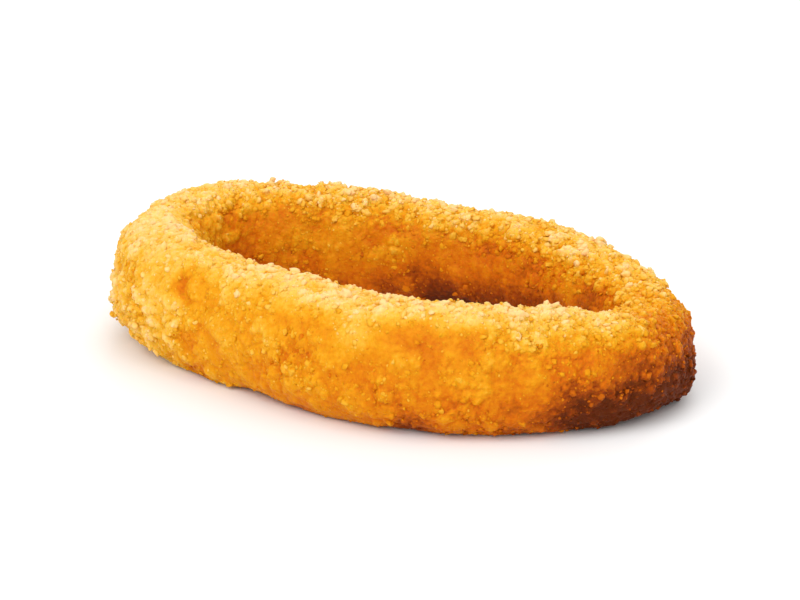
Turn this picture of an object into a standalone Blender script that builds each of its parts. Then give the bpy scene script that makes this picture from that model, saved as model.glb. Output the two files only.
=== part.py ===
"""One breaded and fried onion ring, lying flat. Blender 4.5, metres, +Z up.

The ring is one solid: a crust that is closed all the way round, so nothing inside it shows.
It starts as a torus whose every vertex is moved to its place on an uneven band:
a long oval centre line, a tall rounded section that changes round the ring,
soft lumps in the coating, and one end that curled up as it fried.
The underside is flat where the ring rests. +X is the ring's length, and -Y is its front.
"""

import math

import bpy
from mathutils import Vector, noise

MM = 0.001

# Centre line of the band, seen from above. Waves are (count round the ring, height, phase).
HALF_LENGTH = 35.0 * MM
HALF_WIDTH = 20.2 * MM
PLAN_WAVES = ((2, 0.45 * MM, -0.3), (3, 0.5 * MM, 3.3), (4, 0.4 * MM, -1.0), (5, 0.3 * MM, -0.1))

# Section of the band: across is from the hole to the outside, tall is from the floor to the crest.
BAND_ACROSS = 12.4 * MM
BAND_TALL = 15.8 * MM
ACROSS_WAVES = ((1, 0.3 * MM, 1.0), (2, 0.5 * MM, 0.25), (3, 0.5 * MM, 2.1), (5, 0.35 * MM, 1.0))
TALL_WAVES = ((1, 1.25 * MM, 2.1), (2, 1.1 * MM, 3.05), (3, 0.25 * MM, 2.0))
SECTION_POWER = 2.45  # 2 is an ellipse, more is squarer
CROWN_NARROWING = 0.10  # how much slimmer the crest is than the foot
LEAN = math.radians(-2.5)  # the band's top leans inwards

# The end that curled up while frying.
CURL_RISE = 2.5 * MM
CURL_ANGLE = math.radians(158.0)
CURL_SPREAD = math.radians(71.0)

# Lumps in the coating: (wavelength, height).
LUMPS = ((13.0 * MM, 0.7 * MM), (5.5 * MM, 0.4 * MM))
LUMP_SEED = Vector((3.7, 1.3, 8.1))

# The underside is pressed flat where it rests.
PRESSED_FLAT = 0.75 * MM

ROUND_STEPS = 104
SECTION_STEPS = 30

CRUST_COLOUR = (0.78, 0.36, 0.06, 1.0)
CRUST_ROUGHNESS = 0.62


def clear_scene():
    """Removes the objects that Blender's startup scene holds."""
    for obj in list(bpy.data.objects):
        bpy.data.objects.remove(obj, do_unlink=True)


def waves(angle, terms):
    """The sum of a few waves round the ring, each (count, height, phase)."""
    return sum(height * math.cos(count * angle + phase) for count, height, phase in terms)


def centre_line(angle):
    """The middle of the band's foot at this angle round the ring, at floor level."""
    swell = waves(angle, PLAN_WAVES)
    return Vector(((HALF_LENGTH + swell) * math.cos(angle), (HALF_WIDTH + swell) * math.sin(angle), 0.0))


def outward(angle):
    """The level direction that points away from the hole, square to the centre line."""
    step = 0.01
    forward = centre_line(angle + step) - centre_line(angle - step)
    return Vector((forward.y, -forward.x, 0.0)).normalized()


def curl(angle):
    """How far the band has risen at this angle."""
    away = math.remainder(angle - CURL_ANGLE, math.tau)
    if abs(away) >= CURL_SPREAD:
        return 0.0
    return CURL_RISE * (0.5 + 0.5 * math.cos(math.pi * away / CURL_SPREAD))


def rounded(direction, power):
    """The share of a half width that a superellipse reaches in this direction."""
    return math.copysign(abs(direction) ** (2.0 / power), direction)


def lumps(place):
    """How far the coating stands proud at this place."""
    return sum(
        height * noise.noise(place / length + LUMP_SEED * number)
        for number, (length, height) in enumerate(LUMPS, start=1)
    )


def crust_point(angle, turn):
    """The point of the crust at this angle round the ring and this turn round its section."""
    half_across = 0.5 * (BAND_ACROSS + waves(angle, ACROSS_WAVES))
    half_tall = 0.5 * (BAND_TALL + waves(angle, TALL_WAVES))
    side = rounded(math.cos(turn), SECTION_POWER)
    height = rounded(math.sin(turn), SECTION_POWER)
    out = half_across * side * (1.0 - CROWN_NARROWING * height)
    up = half_tall * height
    leant_out = out * math.cos(LEAN) + up * math.sin(LEAN)
    leant_up = up * math.cos(LEAN) - out * math.sin(LEAN)
    middle = centre_line(angle) + Vector((0.0, 0.0, half_tall + curl(angle)))
    point = middle + outward(angle) * leant_out + Vector((0.0, 0.0, leant_up))
    away = (point - middle).normalized()
    return point + away * lumps(point)


def ring_mesh():
    """A torus primitive whose vertices are moved onto the crust."""
    major, minor = HALF_LENGTH, 0.5 * BAND_ACROSS
    bpy.ops.mesh.primitive_torus_add(
        major_segments=ROUND_STEPS, minor_segments=SECTION_STEPS, major_radius=major, minor_radius=minor
    )
    ring = bpy.context.object
    for vertex in ring.data.vertices:
        flat = math.hypot(vertex.co.x, vertex.co.y)
        angle = math.atan2(vertex.co.y, vertex.co.x)
        turn = math.atan2(vertex.co.z, flat - major)
        vertex.co = crust_point(angle, turn)
    return ring


def seat(ring):
    """Presses the underside flat at z = 0 and centres the ring on the origin."""
    vertices = ring.data.vertices
    floor = min(vertex.co.z for vertex in vertices) + PRESSED_FLAT
    for vertex in vertices:
        vertex.co.z = max(vertex.co.z - floor, 0.0)
    middle = Vector()
    for axis in (0, 1):
        places = [vertex.co[axis] for vertex in vertices]
        middle[axis] = 0.5 * (min(places) + max(places))
    for vertex in vertices:
        vertex.co -= middle
    ring.data.update()


def crust_material():
    """Golden fried coating."""
    material = bpy.data.materials.new("fried_crust")
    material.use_nodes = True
    shader = material.node_tree.nodes["Principled BSDF"]
    shader.inputs["Base Color"].default_value = CRUST_COLOUR
    shader.inputs["Roughness"].default_value = CRUST_ROUGHNESS
    shader.inputs["Metallic"].default_value = 0.0
    return material


def build():
    """Makes the onion ring in a collection of its own."""
    clear_scene()
    ring = ring_mesh()
    seat(ring)
    ring.name = "onion_ring"
    ring.data.name = "onion_ring"
    ring.data.materials.append(crust_material())
    ring.data.shade_smooth()
    collection = bpy.data.collections.new("breaded_onion_ring")
    bpy.context.scene.collection.children.link(collection)
    for holder in list(ring.users_collection):
        holder.objects.unlink(ring)
    collection.objects.link(ring)
    return ring


build()
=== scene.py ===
"""A breaded onion ring on a pale table.

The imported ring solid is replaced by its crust: a fine skin with the relief of crumbs that are
baked into it, and breadcrumbs of several sizes that sit half sunk in that skin.
Every length is in metres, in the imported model's frame: +X is the ring's length, -Y its front.
"""

import sys
import logging
import math
from dataclasses import dataclass, field
from enum import Enum

import bmesh
import bpy
import numpy as np
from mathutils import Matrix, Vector, noise
from mathutils.bvhtree import BVHTree


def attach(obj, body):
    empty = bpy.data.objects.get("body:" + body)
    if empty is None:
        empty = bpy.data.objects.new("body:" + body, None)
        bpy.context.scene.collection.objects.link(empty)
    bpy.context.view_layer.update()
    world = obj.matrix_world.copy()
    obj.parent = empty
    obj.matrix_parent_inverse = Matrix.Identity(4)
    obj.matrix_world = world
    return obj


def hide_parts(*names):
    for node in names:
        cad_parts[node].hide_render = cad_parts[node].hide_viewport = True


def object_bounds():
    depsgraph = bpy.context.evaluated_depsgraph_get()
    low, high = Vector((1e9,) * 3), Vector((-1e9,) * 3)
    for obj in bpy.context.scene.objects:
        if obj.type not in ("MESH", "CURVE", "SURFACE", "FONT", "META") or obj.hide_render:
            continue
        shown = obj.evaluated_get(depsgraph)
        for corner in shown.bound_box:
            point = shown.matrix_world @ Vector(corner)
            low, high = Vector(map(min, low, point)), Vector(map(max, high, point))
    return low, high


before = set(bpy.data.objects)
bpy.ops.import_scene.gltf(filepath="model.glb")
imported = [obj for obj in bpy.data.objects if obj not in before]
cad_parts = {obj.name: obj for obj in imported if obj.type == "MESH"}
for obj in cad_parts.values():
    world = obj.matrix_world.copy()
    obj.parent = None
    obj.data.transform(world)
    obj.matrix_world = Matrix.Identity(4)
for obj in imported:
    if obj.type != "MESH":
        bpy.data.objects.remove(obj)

log = logging.getLogger("onion_ring")

MM = 0.001
NODE = "onion_ring"
BODY = "root"
CRUST_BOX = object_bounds()

Colour = tuple[float, float, float]
Place = tuple[float, float, float]


# ---------------------------------------------------------------- fields over the ring


def smoothstep(low: float, high: float, value: np.ndarray) -> np.ndarray:
    """A soft step from 0 at low to 1 at high.

    Args:
        low: Where the step starts.
        high: Where the step ends, which may be lower than where it starts.
        value: The values to step.

    Returns:
        The stepped values, each from 0 to 1.
    """
    share = np.clip((value - low) / (high - low), 0.0, 1.0)
    return share * share * (3.0 - 2.0 * share)


def clouds(points: np.ndarray, length: float, seed: float, octaves: int = 2) -> np.ndarray:
    """Soft noise at each point.

    Args:
        points: Places, one to a row.
        length: The width of the largest blotches.
        seed: Moves the pattern, so that two calls differ.
        octaves: How many finer layers are added.

    Returns:
        One value for each point, mostly from -0.6 to 0.6.
    """
    offset = Vector((seed, seed * 1.7, seed * 0.3))
    return np.array(
        [noise.fractal(Vector(p) / length + offset, 1.0, 2.0, octaves) for p in points.tolist()]
    )


def grains(points: np.ndarray, size: float, seed: float) -> tuple[np.ndarray, np.ndarray]:
    """Splits space into rounded grains with crevices between them.

    Args:
        points: Places, one to a row.
        size: The grains' usual width.
        seed: Moves the pattern, so that two calls differ.

    Returns:
        How high each point stands on its grain, 0 in the crevices and about 1 on top,
        and a number from 0 to 1 that is the same all over its grain.
    """
    offset = Vector((seed * 1.3, seed, seed * 0.7))
    gaps, middle = [], []
    for p in points.tolist():
        near, centres = noise.voronoi(Vector(p) / size + offset)
        gaps.append(near[:2])
        middle.append(centres[0][:])
    near, second = np.array(gaps).T
    dome = np.clip(1.0 - (near / 0.85) ** 2, 0.0, 1.0)
    height = 1.15 * smoothstep(0.0, 0.2, second - near) * dome
    mixed = np.sin(np.array(middle) @ np.array((12.9898, 78.233, 37.719))) * 43758.5453
    return height, mixed - np.floor(mixed)


def wander(points: np.ndarray, length: float, reach: float, seed: float) -> np.ndarray:
    """Moves points about, so that a pattern read at them comes out crooked.

    Args:
        points: Places, one to a row.
        length: The width of the bends.
        reach: How far a point may move.
        seed: Moves the pattern, so that two calls differ.

    Returns:
        The moved places.
    """
    shift = [clouds(points, length, seed + step, 1) for step in (0.0, 31.7, 63.1)]
    return points + np.stack(shift, axis=1) * (2.0 * reach)


@dataclass(frozen=True)
class Stroke:
    """A soft line on the crust: a crease, a pit or a cluster, given by places along it."""

    places: tuple[Place, ...]
    width: float

    def share(self, points: np.ndarray) -> np.ndarray:
        """How much of the stroke is felt at each point.

        Args:
            points: Places, one to a row.

        Returns:
            1 on the stroke, falling to 0 a little beyond its width.
        """
        line = np.array(self.places) * MM
        gap = np.linalg.norm(points - line[0], axis=1)
        for start, end in zip(line[:-1], line[1:]):
            along = end - start
            part = np.clip((points - start) @ along / (along @ along), 0.0, 1.0)
            gap = np.minimum(gap, np.linalg.norm(points - start - part[:, None] * along, axis=1))
        return np.exp(-((gap / self.width) ** 2))


CREASE = Stroke(
    (
        (-23.2, -12.7, 16.8),
        (-21.4, -17.9, 16.2),
        (-22.2, -19.6, 13.5),
        (-21.8, -20.3, 11.5),
        (-19.0, -21.4, 9.6),
        (-15.2, -22.7, 6.8),
    ),
    0.8 * MM,
)
PITS = (
    Stroke(((-22.2, -19.6, 14.6), (-22.6, -19.8, 12.4)), 1.3 * MM),
    Stroke(((-22.3, -21.1, 6.5), (-19.8, -21.6, 6.0)), 1.5 * MM),
    Stroke(((-31.3, -17.8, 8.9), (-30.2, -18.6, 7.6)), 1.4 * MM),
)
PALE_CLUSTER = Stroke(((-13.6, -21.7, 12.9), (-9.0, -22.7, 14.1)), 1.7 * MM)


# ---------------------------------------------------------------- the ring's form


@dataclass
class RingForm:
    """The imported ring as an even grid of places: columns round the ring, rows round its section."""

    half_length: float = 35.0 * MM
    half_width: float = 20.2 * MM
    core_height: float = 8.0 * MM
    columns: int = 640
    rows: int = 146
    rays: int = 180
    smoothing: int = 5
    grid: np.ndarray = field(init=False)
    normals: np.ndarray = field(init=False)

    def __post_init__(self) -> None:
        """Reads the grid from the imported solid."""
        solid = self._solid()
        angles = self._even_angles()
        middle = np.stack(
            [
                self.half_length * np.cos(angles),
                self.half_width * np.sin(angles),
                np.full(self.columns, self.core_height),
            ],
            axis=1,
        )
        out = np.stack([self.half_width * np.cos(angles), self.half_length * np.sin(angles)], axis=1)
        out /= np.linalg.norm(out, axis=1, keepdims=True)
        turns = np.arange(self.rays) * math.tau / self.rays
        loops = np.empty((self.columns, self.rays, 3))
        for column in range(self.columns):
            start = Vector(middle[column])
            level = Vector((*out[column], 0.0))
            for row, turn in enumerate(turns):
                ray = level * math.cos(turn) + Vector((0.0, 0.0, math.sin(turn)))
                loops[column, row] = solid.ray_cast(start, ray)[0]
        grid = np.stack([self._respaced(loop) for loop in loops])
        for _ in range(self.smoothing):
            for axis in (0, 1):
                around = np.roll(grid, 1, axis) + np.roll(grid, -1, axis)
                grid = 0.5 * grid + 0.25 * around
        grid[..., 2] = np.maximum(grid[..., 2], 0.0)
        self.grid = grid
        self.normals = self.facing(grid)

    @staticmethod
    def _solid() -> BVHTree:
        """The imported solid, rounded a little so that its facets don't show.

        Returns:
            A tree that rays can be cast at.
        """
        rounded = bpy.data.objects.new("rounded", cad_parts[NODE].data.copy())
        bpy.context.scene.collection.objects.link(rounded)
        joined = bmesh.new()
        joined.from_mesh(rounded.data)
        bmesh.ops.remove_doubles(joined, verts=joined.verts, dist=0.001 * MM)
        joined.to_mesh(rounded.data)
        joined.free()
        rounded.modifiers.new("rounding", "SUBSURF").levels = 1
        bpy.context.view_layer.update()
        tree = BVHTree.FromObject(rounded, bpy.context.evaluated_depsgraph_get())
        bpy.data.objects.remove(rounded)
        return tree

    def _even_angles(self) -> np.ndarray:
        """Ring angles that are evenly spaced along the band.

        Returns:
            One angle for each column.
        """
        fine = np.linspace(-math.pi, math.pi, 4001)
        x, y = self.half_length * np.cos(fine), self.half_width * np.sin(fine)
        run = np.concatenate([[0.0], np.cumsum(np.hypot(np.diff(x), np.diff(y)))])
        return np.interp(np.arange(self.columns) * run[-1] / self.columns, run, fine)

    def _respaced(self, loop: np.ndarray) -> np.ndarray:
        """Spaces one section's places evenly along it.

        Args:
            loop: The places where the rays met the solid.

        Returns:
            One place for each row, starting outward and turning up over the crest.
        """
        closed = np.vstack([loop, loop[:1]])
        run = np.concatenate([[0.0], np.cumsum(np.linalg.norm(np.diff(closed, axis=0), axis=1))])
        asked = np.arange(self.rows) * run[-1] / self.rows
        return np.stack([np.interp(asked, run, closed[:, axis]) for axis in range(3)], axis=1)

    @staticmethod
    def facing(grid: np.ndarray) -> np.ndarray:
        """The outward direction at each place of a grid.

        Args:
            grid: Places, by column and row.

        Returns:
            Unit directions, by column and row.
        """
        round_ring = np.roll(grid, -1, 0) - np.roll(grid, 1, 0)
        round_section = np.roll(grid, -1, 1) - np.roll(grid, 1, 1)
        out = np.cross(round_ring, round_section)
        return out / np.linalg.norm(out, axis=2, keepdims=True)

    def faces(self) -> np.ndarray:
        """The grid's quads, as vertex numbers."""
        column, row = np.meshgrid(np.arange(self.columns), np.arange(self.rows), indexing="ij")
        beyond, above = (column + 1) % self.columns, (row + 1) % self.rows
        corners = ((column, row), (beyond, row), (beyond, above), (column, above))
        return np.stack([(c * self.rows + r).ravel() for c, r in corners], axis=1)

    def bake_map(self) -> np.ndarray:
        """A flat layout with no overlap: two half rings, one above the other.

        Returns:
            Two numbers for each corner of each face.
        """
        column, row = np.meshgrid(np.arange(self.columns), np.arange(self.rows), indexing="ij")
        half = self.columns // 2
        upper = (column >= half) * 1.0
        steps = ((0, 0), (1, 0), (1, 1), (0, 1))
        across = np.stack([(column - upper * half + step) / half for step, _ in steps], axis=2)
        up = np.stack([(row + step) / self.rows for _, step in steps], axis=2)
        flat = np.stack([0.01 + 0.98 * across, (upper[..., None] + 0.02 + 0.96 * up) * 0.5], axis=3)
        return flat.reshape(-1)


@dataclass
class Coating:
    """How the breading varies over the ring, and where light and shade are painted onto it."""

    points: np.ndarray
    facing: np.ndarray
    crest: np.ndarray = field(init=False)
    under: np.ndarray = field(init=False)
    hole_side: np.ndarray = field(init=False)
    front_face: np.ndarray = field(init=False)
    clumpy_end: np.ndarray = field(init=False)

    def __post_init__(self) -> None:
        """Works out where each kind of place is."""
        x, y, z = self.points.T
        out = np.stack([x / 35.0**2, y / 20.2**2], axis=1)
        out /= np.linalg.norm(out, axis=1, keepdims=True)
        outward = (self.facing[:, :2] * out).sum(axis=1)
        self.crest = smoothstep(0.2, 0.75, self.facing[:, 2])
        self.under = smoothstep(0.25, 0.9, -self.facing[:, 2])
        self.hole_side = smoothstep(0.15, 0.8, -outward)
        facing_front = smoothstep(0.35, 0.8, -self.facing[:, 1]) * smoothstep(0.0, 0.4, outward)
        edge = x + 0.25 * (y + 20.0 * MM) + 5.0 * MM * clouds(self.points, 7.0 * MM, 5.5)
        self.clumpy_end = smoothstep(-16.0 * MM, -25.5 * MM, edge)
        self.front_face = facing_front * (1.0 - self.clumpy_end)

    def roughness(self) -> np.ndarray:
        """How strong the relief is at each place, from 0 to 1."""
        patches = clouds(self.points, 8.0 * MM, 9.3)
        far = smoothstep(0.0, 10.0 * MM, self.points[:, 1])
        rough = 0.52 + (0.12 + 0.20 * far) * self.crest + 0.26 * self.clumpy_end - 0.14 * self.front_face
        rough = rough - 0.28 * self.hole_side * (1.0 - self.crest) - 0.30 * self.crest * self.clumpy_end
        return np.clip(rough + 0.35 * patches - 0.12 * self.under, 0.22, 1.0)

    def cover(self) -> np.ndarray:
        """How thickly crumbs lie at each place, from 0 to 1."""
        patches = clouds(self.points, 6.0 * MM, 17.9)
        far = smoothstep(0.0, 10.0 * MM, self.points[:, 1])
        cover = 0.50 + (0.26 + 0.14 * far) * self.crest - 0.10 * self.clumpy_end - 0.22 * self.front_face
        cover = cover - 0.18 * self.hole_side * (1.0 - self.crest)
        cover = cover + 0.55 * patches - 0.08 * self.under + 0.3 * PALE_CLUSTER.share(self.points)
        return np.clip(cover, 0.04, 1.0)

    def tone(self) -> np.ndarray:
        """The usual tone at each place, from 0, burnt, to 1, cream, with painted light and shade mixed in.
        """
        x, y, z = self.points.T
        # Painted light: the upward-facing rim is painted paler as a painted highlight from above, most on
        # the front and less at the right end.
        front = smoothstep(6.0 * MM, -6.0 * MM, y)
        rim = smoothstep(0.36, 0.88, self.facing[:, 2]) * (1.0 - 0.7 * smoothstep(32.0 * MM, 39.0 * MM, x))
        # Painted shade: the bottom is darkened more towards the right, and the lower right end much more;
        # only part of that end's darkness is deeper frying.
        low = smoothstep(10.0 * MM, 1.0 * MM, z) * smoothstep(-20.0 * MM, 32.0 * MM, x)
        shade_and_browning_end = smoothstep(26.5 * MM, 40.5 * MM, x) * smoothstep(17.0 * MM, 3.0 * MM, z)
        # Painted highlight on the rim and painted shade on the downward-facing underside.
        tone = 0.52 + (0.22 + 0.08 * front) * rim - 0.06 * self.under
        away = smoothstep(-10.0 * MM, 2.0 * MM, y) * (1.0 - rim)
        tone = tone + self.clumpy_end * (0.17 - 0.12 * rim - 0.09 * away) * (1.0 - 0.5 * self.hole_side)
        # Painted shade on the bottom and the lower right end, partly deeper frying.
        tone = tone - 0.20 * low - 0.44 * shade_and_browning_end
        # Painted light: the walls below the rim are painted paler towards the left, the side that the key
        # light comes from.
        tone = tone + 0.06 * smoothstep(5.0 * MM, -20.0 * MM, x) * (1.0 - rim)
        # Painted shade inside the hole: its wall is darkened, less towards the left and most low down.
        shaded = 0.07 + 0.07 * smoothstep(-14.0 * MM, 4.0 * MM, x)
        tone = tone - self.hole_side * (shaded + 0.24 * smoothstep(10.5 * MM, 3.0 * MM, z))
        tone = tone + 0.08 * clouds(self.points, 12.0 * MM, 4.1) + 0.05 * clouds(self.points, 4.0 * MM, 7.7)
        # The pale cluster is the crumbs' own colour; the darkening in the crease and the pits is painted
        # shade in those dents.
        tone = tone + 0.03 * PALE_CLUSTER.share(self.points) - 0.04 * CREASE.share(self.points)
        for pit in PITS:
            tone = tone - 0.12 * pit.share(self.points)
        return tone


# ---------------------------------------------------------------- finishes

CHAR: Colour = (0.12, 0.019, 0.001)
BROWN: Colour = (0.31, 0.053, 0.001)
RUST: Colour = (0.61, 0.143, 0.001)
ORANGE: Colour = (0.69, 0.236, 0.002)
AMBER: Colour = (0.75, 0.322, 0.006)
GOLD: Colour = (0.81, 0.424, 0.035)
STRAW: Colour = (0.87, 0.522, 0.120)
CREAM: Colour = (0.93, 0.595, 0.24)

FRYING = (
    (0.0, CHAR),
    (0.18, BROWN),
    (0.36, RUST),
    (0.50, ORANGE),
    (0.62, AMBER),
    (0.75, GOLD),
    (0.88, STRAW),
    (1.0, CREAM),
)


@dataclass(frozen=True)
class FriedFinish:
    """Fried breading. The vertex attribute "tone" picks its colour and fine noise breaks it up."""

    name: str
    mottle: float = 0.15
    mottle_length: float = 0.6 * MM
    roughness: float = 0.50
    specular: float = 0.08
    bump_length: float = 0.36 * MM
    bump_height: float = 0.16 * MM
    glow: float = 0.60
    glow_radius: float = 0.6 * MM

    def material(self) -> bpy.types.Material:
        """Builds the node material.

        Returns:
            The new material.
        """
        material = bpy.data.materials.new(self.name)
        material.use_nodes = True
        tree = material.node_tree
        shader = tree.nodes["Principled BSDF"]
        shader.inputs["Roughness"].default_value = self.roughness
        shader.inputs["Specular IOR Level"].default_value = self.specular
        shader.inputs["Subsurface Weight"].default_value = self.glow
        shader.inputs["Subsurface Radius"].default_value = (1.0, 0.36, 0.08)
        shader.inputs["Subsurface Scale"].default_value = self.glow_radius
        place = tree.nodes.new("ShaderNodeNewGeometry").outputs["Position"]
        self._colour(tree, shader, place)
        self._bump(tree, shader, place)
        return material

    def _colour(
        self, tree: bpy.types.NodeTree, shader: bpy.types.Node, place: bpy.types.NodeSocket
    ) -> None:
        """Joins tone and mottle to the base colour.

        Args:
            tree: The material's nodes.
            shader: The surface shader.
            place: The socket that gives the place on the surface.
        """
        tone = tree.nodes.new("ShaderNodeAttribute")
        tone.attribute_name = "tone"
        specks = tree.nodes.new("ShaderNodeTexNoise")
        specks.inputs["Scale"].default_value = 1.0 / self.mottle_length
        specks.inputs["Detail"].default_value = 3.0
        tree.links.new(place, specks.inputs["Vector"])
        centred = tree.nodes.new("ShaderNodeMath")
        centred.operation = "SUBTRACT"
        centred.inputs[1].default_value = 0.5
        tree.links.new(specks.outputs["Fac"], centred.inputs[0])
        mixed = tree.nodes.new("ShaderNodeMath")
        mixed.operation = "MULTIPLY_ADD"
        mixed.inputs[1].default_value = self.mottle * 2.0
        tree.links.new(centred.outputs[0], mixed.inputs[0])
        tree.links.new(tone.outputs["Fac"], mixed.inputs[2])
        ramp = tree.nodes.new("ShaderNodeValToRGB")
        stops = ramp.color_ramp.elements
        while len(stops) < len(FRYING):
            stops.new(0.5)
        for stop, (position, colour) in zip(stops, FRYING):
            stop.position = position
            stop.color = (*colour, 1.0)
        tree.links.new(mixed.outputs[0], ramp.inputs["Fac"])
        tree.links.new(ramp.outputs["Color"], shader.inputs["Base Color"])

    def _bump(
        self, tree: bpy.types.NodeTree, shader: bpy.types.Node, place: bpy.types.NodeSocket
    ) -> None:
        """Adds the fine grain of fried crumb.

        Args:
            tree: The material's nodes.
            shader: The surface shader.
            place: The socket that gives the place on the surface.
        """
        grain = tree.nodes.new("ShaderNodeTexNoise")
        grain.inputs["Scale"].default_value = 1.0 / self.bump_length
        grain.inputs["Detail"].default_value = 2.0
        tree.links.new(place, grain.inputs["Vector"])
        bump = tree.nodes.new("ShaderNodeBump")
        bump.inputs["Strength"].default_value = 1.0
        bump.inputs["Distance"].default_value = self.bump_height
        tree.links.new(grain.outputs["Fac"], bump.inputs["Height"])
        tree.links.new(bump.outputs["Normal"], shader.inputs["Normal"])


# ---------------------------------------------------------------- pieces


def new_piece(name: str, places: np.ndarray, faces: np.ndarray, tone: np.ndarray) -> bpy.types.Object:
    """Makes a mesh object from arrays and links it to the scene.

    Args:
        name: The piece's name.
        places: Vertex places, one to a row.
        faces: Vertex numbers, one face to a row.
        tone: How well done each vertex is, with painted light and shade mixed in, for the finish.

    Returns:
        The new object, shaded smooth.
    """
    mesh = bpy.data.meshes.new(name)
    mesh.from_pydata(places.tolist(), [], faces.tolist())
    mesh.shade_smooth()
    shade = mesh.attributes.new("tone", "FLOAT", "POINT")
    shade.data.foreach_set("value", np.ascontiguousarray(tone, dtype=np.float32))
    mesh.update()
    piece = bpy.data.objects.new(name, mesh)
    bpy.context.scene.collection.objects.link(piece)
    return piece


def show_piece(piece: bpy.types.Object, finish: FriedFinish) -> None:
    """Dresses a piece and ties it to the ring's body.

    Args:
        piece: The piece to dress.
        finish: What it is dressed in.
    """
    piece.data.materials.append(finish.material())
    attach(piece, BODY)
    count = sum(len(face.vertices) - 2 for face in piece.data.polygons)
    log.info("%s: %d triangles", piece.name, count)


@dataclass(frozen=True)
class Relief:
    """One layer of grains that are baked into the skin."""

    size: float
    height: float
    crookedness: float
    seed: float


@dataclass
class Crust:
    """The crust's skin: batter with the relief of the crumbs that are baked into it."""

    form: RingForm
    finish: FriedFinish
    inset: float = 0.22 * MM
    wave_length: float = 4.6 * MM
    wave_height: float = 0.34 * MM
    layers: tuple[Relief, ...] = (
        Relief(2.4 * MM, 0.62 * MM, 0.7 * MM, 3.1),
        Relief(1.3 * MM, 0.46 * MM, 0.35 * MM, 11.7),
        Relief(0.75 * MM, 0.26 * MM, 0.15 * MM, 23.9),
    )
    relief_shading_strength: float = 0.36
    grid: np.ndarray = field(init=False)
    coating: Coating = field(init=False)
    usual: np.ndarray = field(init=False)
    rise: np.ndarray = field(init=False)

    def build(self) -> "Crust":
        """Makes and dresses the skin.

        Returns:
            This crust, with the grid of places that its skin reached.
        """
        points = self.form.grid.reshape(-1, 3)
        facing = self.form.normals.reshape(-1, 3)
        self.coating = Coating(points, facing)
        rough = self.coating.roughness()
        rise = self.wave_height * clouds(points, self.wave_length, 2.2)
        chances = np.zeros(len(points))
        for layer in self.layers:
            crooked = wander(points, 1.6 * layer.size, layer.crookedness, layer.seed)
            body, chance = grains(crooked, layer.size, layer.seed)
            rise = rise + layer.height * rough * (body * (0.35 + 0.9 * chance) - 0.4)
            chances = chances + rough * (chance - 0.5) * body
        rise = rise - 0.25 * MM * CREASE.share(points)
        for pit in PITS:
            rise = rise - 0.25 * MM * pit.share(points)
        pressed = smoothstep(0.9 * MM, 0.15 * MM, points[:, 2]) * smoothstep(0.5, 0.9, -facing[:, 2])
        lift = (rise - self.inset) * (1.0 - pressed) + np.minimum(rise * 0.3, 0.0) * pressed
        self.usual = self.coating.tone()
        self.rise = rise
        # The skin's tone gets a painted highlight on its raised grains and painted shade in its crevices.
        tone = self.usual + self.relief_light_and_shade(rise) + 0.08 * chances
        moved = points + facing * lift[:, None]
        moved[:, 2] = np.maximum(moved[:, 2], 0.0)
        self.grid = moved.reshape(self.form.grid.shape)
        piece = new_piece("crust", moved, self.form.faces(), tone)
        layer = piece.data.uv_layers.new(name="OFBake")
        layer.uv.foreach_set("vector", self.form.bake_map().astype(np.float32))
        show_piece(piece, self.finish)
        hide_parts(NODE)
        return self

    def relief_light_and_shade(self, rise: np.ndarray) -> np.ndarray:
        """Painted light and shade of the relief: breading that stands proud is painted paler, as a painted
        highlight, and crevices darker, as painted shade.
        """
        return self.relief_shading_strength * np.clip(rise / MM, -0.3, 0.9)


class Shape(Enum):
    """How finely a crumb is made, from the ball of triangles that it is cut from."""

    SPECK = "20 triangles"
    CRUMB = "48 triangles"
    GRAIN = "80 triangles"
    NUGGET = "320 triangles"

    def ball(self) -> bmesh.types.BMesh:
        """Makes the ball.

        Returns:
            A mesh that the caller frees.
        """
        ball = bmesh.new()
        if self is Shape.CRUMB:
            bmesh.ops.create_cube(ball, size=1.0)
            bmesh.ops.subdivide_edges(ball, edges=ball.edges, cuts=1, use_grid_fill=True)
            bmesh.ops.triangulate(ball, faces=ball.faces)
            for vertex in ball.verts:
                vertex.co.normalize()
        else:
            level = (Shape.SPECK, Shape.GRAIN, Shape.NUGGET).index(self) + 1
            bmesh.ops.create_icosphere(ball, subdivisions=level, radius=1.0)
        return ball


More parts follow.
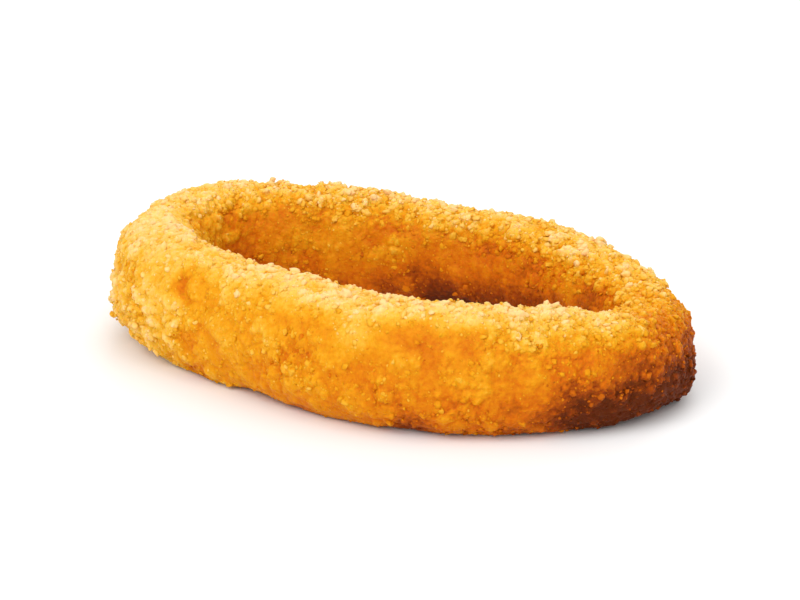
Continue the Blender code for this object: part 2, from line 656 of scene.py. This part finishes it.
@dataclass
class CrumbLayer:
    """Crumbs of one kind, half sunk in the skin and joined into one piece."""

    name: str
    shape: Shape
    count: int
    size: tuple[float, float]
    finish: FriedFinish
    paler: float
    spread: float
    seed: int
    sunk: tuple[float, float] = (-0.5, -0.05)
    crest_lift: float = 0.12
    spacing: float = 0.6
    dark_share: float = 0.04
    dark_drop: float = 0.14
    less_browned: float = 0.16
    gathering: float = 1.0
    clumping: float = 0.0
    cuts: int = 5
    kinds: int = 24

    def build(self, crust: Crust) -> None:
        """Scatters the crumbs over the skin.

        Args:
            crust: The skin that they sit in.
        """
        rng = np.random.default_rng(self.seed)
        spots, facing, seat = self._spots(crust, rng)
        count = len(spots)
        radius = 0.5 * (self.size[0] + (self.size[1] - self.size[0]) * rng.beta(1.2, 2.4, count))
        stretch = rng.uniform((0.85, 0.65, 0.5), (1.2, 0.95, 0.8), (count, 3))
        turns = self._turns(facing, rng)
        lifted = crust.coating.crest[seat] * (1.0 - crust.coating.clumpy_end[seat])
        proud = radius * (rng.uniform(*self.sunk, count) + self.crest_lift * lifted)
        centres = spots + facing * proud[:, None]
        under = crust.usual[seat]
        tone = under + self.less_browned * np.maximum(0.4 - under, 0.0)
        tone = tone + self.paler + rng.normal(0.0, self.spread, count)
        tone = tone - self.dark_drop * (rng.random(count) < self.dark_share)
        templates = [self._template(rng) for _ in range(self.kinds)]
        kind = rng.integers(0, self.kinds, count)
        places, faces, tones = [], [], []
        start = 0
        for number, (shape, corners) in enumerate(templates):
            these = np.flatnonzero(kind == number)
            scaled = shape[None, :, :] * (radius[these, None] * stretch[these])[:, None, :]
            turned = np.einsum("kij,knj->kni", turns[these], scaled)
            above = (turned * facing[these, None, :]).sum(2) + (crust.rise[seat] + proud)[these, None]
            places.append((turned + centres[these, None, :]).reshape(-1, 3))
            offsets = start + np.arange(len(these))[:, None, None] * len(shape)
            faces.append((corners[None, :, :] + offsets).reshape(-1, 3))
            # Painted highlight on each crumb's top and painted shade on its sunken underside.
            tones.append((tone[these, None] + crust.relief_light_and_shade(above)).ravel())
            start += len(these) * len(shape)
        joined = np.concatenate(places)
        joined[:, 2] = np.clip(joined[:, 2], 0.0, CRUST_BOX[1][2] + 0.4 * MM)
        piece = new_piece(self.name, joined, np.concatenate(faces), np.concatenate(tones))
        show_piece(piece, self.finish)

    def _spots(
        self, crust: Crust, rng: np.random.Generator
    ) -> tuple[np.ndarray, np.ndarray, np.ndarray]:
        """Picks where the crumbs sit.

        Args:
            crust: The skin that they sit in.
            rng: The source of chance.

        Returns:
            The places, the outward direction at each, and the numbers of the skin's vertices there.
        """
        columns, rows = crust.grid.shape[:2]
        places = crust.grid.reshape(-1, 3)
        facing = crust.form.normals.reshape(-1, 3)
        beside = np.roll(crust.grid, -1, 0).reshape(-1, 3) - places
        above = np.roll(crust.grid, -1, 1).reshape(-1, 3) - places
        area = np.linalg.norm(np.cross(beside, above), axis=1)
        weight = area * crust.coating.cover() ** self.gathering
        weight = weight * (1.0 + self.clumping * crust.coating.clumpy_end)
        weight[places[:, 2] < 0.12 * MM] = 0.0
        tries = rng.choice(len(places), size=self.count * 3, p=weight / weight.sum())
        s, t = rng.random((2, len(tries), 1))
        picked = places[tries] + beside[tries] * s + above[tries] * t
        kept = self._apart(picked, self.spacing * 0.5 * (self.size[0] + self.size[1]))[: self.count]
        return picked[kept], facing[tries[kept]], tries[kept]

    @staticmethod
    def _apart(points: np.ndarray, gap: float) -> np.ndarray:
        """Drops points that lie too close to an earlier one.

        Args:
            points: The places in the order in which they were picked.
            gap: The least distance between two that stay.

        Returns:
            The numbers of the points that stay.
        """
        taken: dict[tuple[int, int, int], list[np.ndarray]] = {}
        kept = []
        cells = np.floor(points / gap).astype(int)
        steps = [(i, j, k) for i in (-1, 0, 1) for j in (-1, 0, 1) for k in (-1, 0, 1)]
        for number, (cell, point) in enumerate(zip(map(tuple, cells.tolist()), points)):
            near = (
                other
                for step in steps
                for other in taken.get((cell[0] + step[0], cell[1] + step[1], cell[2] + step[2]), ())
            )
            if all(np.dot(point - other, point - other) > gap * gap for other in near):
                taken.setdefault(cell, []).append(point)
                kept.append(number)
        return np.array(kept)

    @staticmethod
    def _turns(facing: np.ndarray, rng: np.random.Generator) -> np.ndarray:
        """Turns each crumb: its flat side mostly down, at any heading.

        Args:
            facing: The outward direction under each crumb.
            rng: The source of chance.

        Returns:
            One rotation matrix for each crumb.
        """
        up = facing + rng.normal(0.0, 0.35, facing.shape)
        up /= np.linalg.norm(up, axis=1, keepdims=True)
        side = np.cross(up, rng.normal(0.0, 1.0, facing.shape))
        side /= np.linalg.norm(side, axis=1, keepdims=True)
        return np.stack([side, np.cross(up, side), up], axis=2)

    def _template(self, rng: np.random.Generator) -> tuple[np.ndarray, np.ndarray]:
        """Makes one crumb of unit size: a lump that is broken flat on several sides.

        Args:
            rng: The source of chance.

        Returns:
            Its vertices and triangles.
        """
        ball = self.shape.ball()
        shape = np.array([v.co for v in ball.verts])
        corners = np.array([[v.index for v in f.verts] for f in ball.faces])
        ball.free()
        lumps = clouds(shape + rng.uniform(0.0, 50.0, 3), 0.9, 0.5, 3)
        shape = shape * (1.0 + 0.6 * lumps)[:, None]
        for _ in range(self.cuts):
            out = rng.normal(0.0, 1.0, 3)
            out /= np.linalg.norm(out)
            past = np.maximum(shape @ out - rng.uniform(0.55, 0.95), 0.0)
            shape = shape - np.outer(past, out) * 0.8
        return shape / np.linalg.norm(shape, axis=1).max(), corners


# ---------------------------------------------------------------- table, light and camera


@dataclass
class Table:
    """The plain pale surface under the ring."""

    side: float = 3.0
    colour: Colour = (0.88, 0.88, 0.875)

    def build(self) -> None:
        """Makes the table top."""
        half = self.side / 2.0
        corners = [(-half, -half, 0.0), (half, -half, 0.0), (half, half, 0.0), (-half, half, 0.0)]
        table = new_piece("table_top", np.array(corners), np.array([(0, 1, 2, 3)]), np.zeros(4))
        material = bpy.data.materials.new("pale_table")
        material.use_nodes = True
        shader = material.node_tree.nodes["Principled BSDF"]
        shader.inputs["Base Color"].default_value = (*self.colour, 1.0)
        shader.inputs["Roughness"].default_value = 0.9
        shader.inputs["Specular IOR Level"].default_value = 0.1
        table.data.materials.append(material)


@dataclass(frozen=True)
class SoftBox:
    """One square studio lamp, placed by its angle from the camera."""

    name: str
    turn: float
    rise: float
    power: float
    size: float
    away: float


@dataclass
class Studio:
    """Soft studio light and the camera."""

    azimuth: float = math.radians(29.3)
    elevation: float = math.radians(19.9)
    distance: float = 0.6
    lens: float = 202.0
    sky: float = 0.55
    target: Vector = field(default_factory=lambda: Vector((0.0, 0.0, 8.63 * MM)))
    lamps: tuple[SoftBox, ...] = (
        SoftBox("key", -50.0, 46.0, 26.0, 1.6, 2.5),
        SoftBox("front", -6.0, 28.0, 18.5, 1.8, 2.5),
        SoftBox("overhead", 60.0, 70.0, 20.0, 2.4, 2.2),
        SoftBox("back", 165.0, 34.0, 21.0, 1.8, 2.5),
    )

    def direction(self, azimuth: float, elevation: float) -> Vector:
        """The direction from the ring at an angle to the front's right and above the table."""
        level = math.cos(elevation)
        return Vector((math.sin(azimuth) * level, -math.cos(azimuth) * level, math.sin(elevation)))

    def _place(self, thing: bpy.types.Object, back: Vector, away: float) -> None:
        """Puts a lamp or the camera in its place and turns it to the ring.

        Args:
            thing: The lamp or camera.
            back: The direction from the ring to it.
            away: Its distance from the ring.
        """
        bpy.context.scene.collection.objects.link(thing)
        thing.location = self.target + back * away
        thing.rotation_mode = "QUATERNION"
        thing.rotation_quaternion = (-back).to_track_quat("-Z", "Y")

    def build(self) -> None:
        """Lights the ring and sets up the view."""
        camera = bpy.data.objects.new("camera", bpy.data.cameras.new("camera"))
        self._place(camera, self.direction(self.azimuth, self.elevation), self.distance)
        camera.data.lens = self.lens
        camera.data.clip_start = 0.01
        camera.data.clip_end = 20.0
        for box in self.lamps:
            light = bpy.data.lights.new(box.name, "AREA")
            light.energy = box.power
            light.size = box.size
            back = self.direction(self.azimuth + math.radians(box.turn), math.radians(box.rise))
            self._place(bpy.data.objects.new(box.name, light), back, box.away)
        world = bpy.data.worlds.new("studio")
        world.use_nodes = True
        world.node_tree.nodes["Background"].inputs["Color"].default_value = (1.0, 1.0, 1.0, 1.0)
        world.node_tree.nodes["Background"].inputs["Strength"].default_value = self.sky
        scene = bpy.context.scene
        scene.world = world
        scene.camera = camera
        scene.view_settings.view_transform = "Standard"


def main() -> None:
    """Builds the ring, the table and the light."""
    logging.basicConfig(level=logging.INFO, format="%(name)s %(message)s", stream=sys.stdout)
    Table().build()
    crust = Crust(RingForm(), FriedFinish("crust_batter")).build()
    crumb = FriedFinish("loose_crumb", mottle=0.07, glow=0.0)
    layers = (
        CrumbLayer(
            "crumb_nuggets", Shape.NUGGET, 380, (1.4 * MM, 2.5 * MM), crumb, 0.06, 0.05, 3,
            gathering=3.0, clumping=3.0,
        ),
        CrumbLayer(
            "crumb_grains", Shape.GRAIN, 2450, (0.9 * MM, 1.9 * MM), crumb, 0.04, 0.06, 5, gathering=1.6
        ),
        CrumbLayer("crumb_small_grains", Shape.CRUMB, 4100, (0.55 * MM, 1.0 * MM), crumb, 0.06, 0.07, 7),
        CrumbLayer(
            "crumb_specks", Shape.SPECK, 9800, (0.35 * MM, 0.7 * MM), crumb, 0.06, 0.08, 9, gathering=0.5
        ),
    )
    for layer in layers:
        layer.build(crust)
    Studio().build()


if __name__ == "__main__":
    main()
